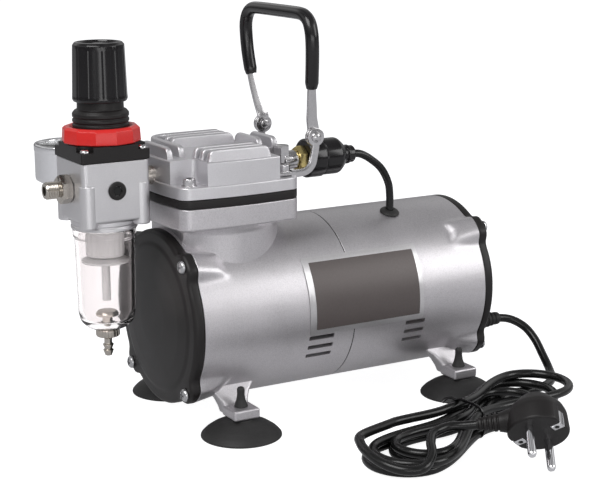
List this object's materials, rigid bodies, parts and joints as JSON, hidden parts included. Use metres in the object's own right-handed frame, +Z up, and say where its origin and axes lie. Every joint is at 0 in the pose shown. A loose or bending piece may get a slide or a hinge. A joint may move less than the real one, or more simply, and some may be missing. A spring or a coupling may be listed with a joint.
{
  "type": "piston air compressor",
  "caption": "Small oil-free piston air compressor with a cylindrical motor housing, finned head, filter regulator with knob, bowl and gauge, swing handle, suction feet and mains lead.",
  "frame": {"origin": "on the bench under the middle of the compressor's box, measured without the mains lead", "axes": "+X runs along the motor shaft from the regulator end to the cord end, +Y towards the pressure gauge's side, +Z up"},
  "size_m": [0.3068, 0.2555, 0.235],
  "materials": {
    "silver_paint": "silver-grey metallic paint on die casting",
    "cast_aluminium": "bare satin die casting",
    "black_plastic": "satin black",
    "gloss_black_plastic": "gloss black",
    "black_rubber": "matte black rubber",
    "machined_steel": "machined",
    "bright_zinc": "bright zinc or chrome plate on steel",
    "brass": "turned brass",
    "nickel_plate": "nickel-plated brass",
    "red_plastic": "red",
    "clear_polycarbonate": "clear moulding",
    "white_plastic": "white",
    "copper_winding": "lacquered copper wire",
    "plate_foil": "thin foil plate",
    "cord_pvc": "black flexible PVC"
  },
  "bodies": {
    "frame": {"bonnet": "black_plastic", "brass_nipple": "brass", "cord_gland": "black_rubber", "cord_hank": "cord_pvc", "cylinder_head": "cast_aluminium", "cylinder_sleeve": "machined_steel", "elbow_fitting": "bright_zinc", "filter_bowl": "clear_polycarbonate", "filter_element": "white_plastic", "front_bearing": "machined_steel", "front_cover": "black_plastic", "front_cover_screw_1": "machined_steel", "front_cover_screw_2": "machined_steel", "front_cover_screw_3": "machined_steel", "front_cover_screw_4": "machined_steel", "front_housing": "silver_paint", "gauge_case": "bright_zinc", "handle_bracket_far": "bright_zinc", "handle_bracket_near": "bright_zinc", "handle_rivet_far": "bright_zinc", "handle_rivet_near": "bright_zinc", "head_bolt_1": "bright_zinc", "head_bolt_2": "bright_zinc", "head_bolt_3": "bright_zinc", "head_bolt_4": "bright_zinc", "inlet_connector": "nickel_plate", "lead_grommet": "black_rubber", "lock_ring": "red_plastic", "mains_cord": "cord_pvc", "mains_plug": "black_plastic", "outlet_fitting": "nickel_plate", "port_plug": "black_plastic", "pressure_switch": "gloss_black_plastic", "rating_plate": "plate_foil", "rear_bearing": "machined_steel", "rear_cover": "black_plastic", "rear_housing": "silver_paint", "regulator_body": "cast_aluminium", "regulator_spring": "machined_steel", "stator": "copper_winding", "suction_foot_front_far": "black_rubber", "suction_foot_front_near": "black_rubber", "suction_foot_rear_far": "black_rubber", "suction_foot_rear_near": "black_rubber", "switch_lead": "cord_pvc", "valve_plate": "black_plastic"},
    "rotor": {"motor_shaft": "machined_steel", "crank_disc": "machined_steel", "rotor_core": "machined_steel", "cooling_fan": "black_plastic"},
    "piston": {"piston_rod": "cast_aluminium"},
    "handle": {"handle_strap": "bright_zinc", "handle_grip": "gloss_black_plastic"},
    "screw": {"adjusting_screw": "machined_steel"},
    "knob": {"pressure_knob": "gloss_black_plastic"},
    "drain": {"drain_valve": "nickel_plate"},
    "needle": {"gauge_needle": "black_plastic"},
    "rocker": {"power_rocker": "red_plastic"}
  },
  "joints": [
    {"name": "motor_spin", "type": "hinge", "parent": "frame", "child": "rotor", "pos_m": [-0.00465, 0, 0.062], "axis": [1, 0, 0], "continuous": true},
    {"name": "piston_stroke", "type": "slide", "parent": "frame", "child": "piston", "axis": [0, 0, 1], "range_m": [0, 0.014]},
    {"name": "handle_fold", "type": "hinge", "parent": "frame", "child": "handle", "pos_m": [0.01555, 0, 0.1623], "axis": [0, 1, 0], "range_deg": [-75, 85]},
    {"name": "knob_turn", "type": "hinge", "parent": "frame", "child": "screw", "pos_m": [-0.10115, 0, 0.185], "axis": [0, 0, 1], "range_deg": [-900, 900]},
    {"name": "knob_push", "type": "slide", "parent": "screw", "child": "knob", "axis": [0, 0, 1], "range_m": [-0.003, 0]},
    {"name": "drain_turn", "type": "hinge", "parent": "frame", "child": "drain", "pos_m": [-0.10115, 0, 0.058], "axis": [0, 0, 1], "range_deg": [0, 90]},
    {"name": "needle_turn", "type": "hinge", "parent": "frame", "child": "needle", "pos_m": [-0.10115, 0.049, 0.154], "axis": [0, 0, -1], "range_deg": [0, 270], "stiffness_Nm_per_rad": 0.00002},
    {"name": "rocker_tilt", "type": "hinge", "parent": "frame", "child": "rocker", "pos_m": [0.13175, 0.0145, 0.054], "axis": [0, 1, 0], "range_deg": [-8, 8]}
  ]
}
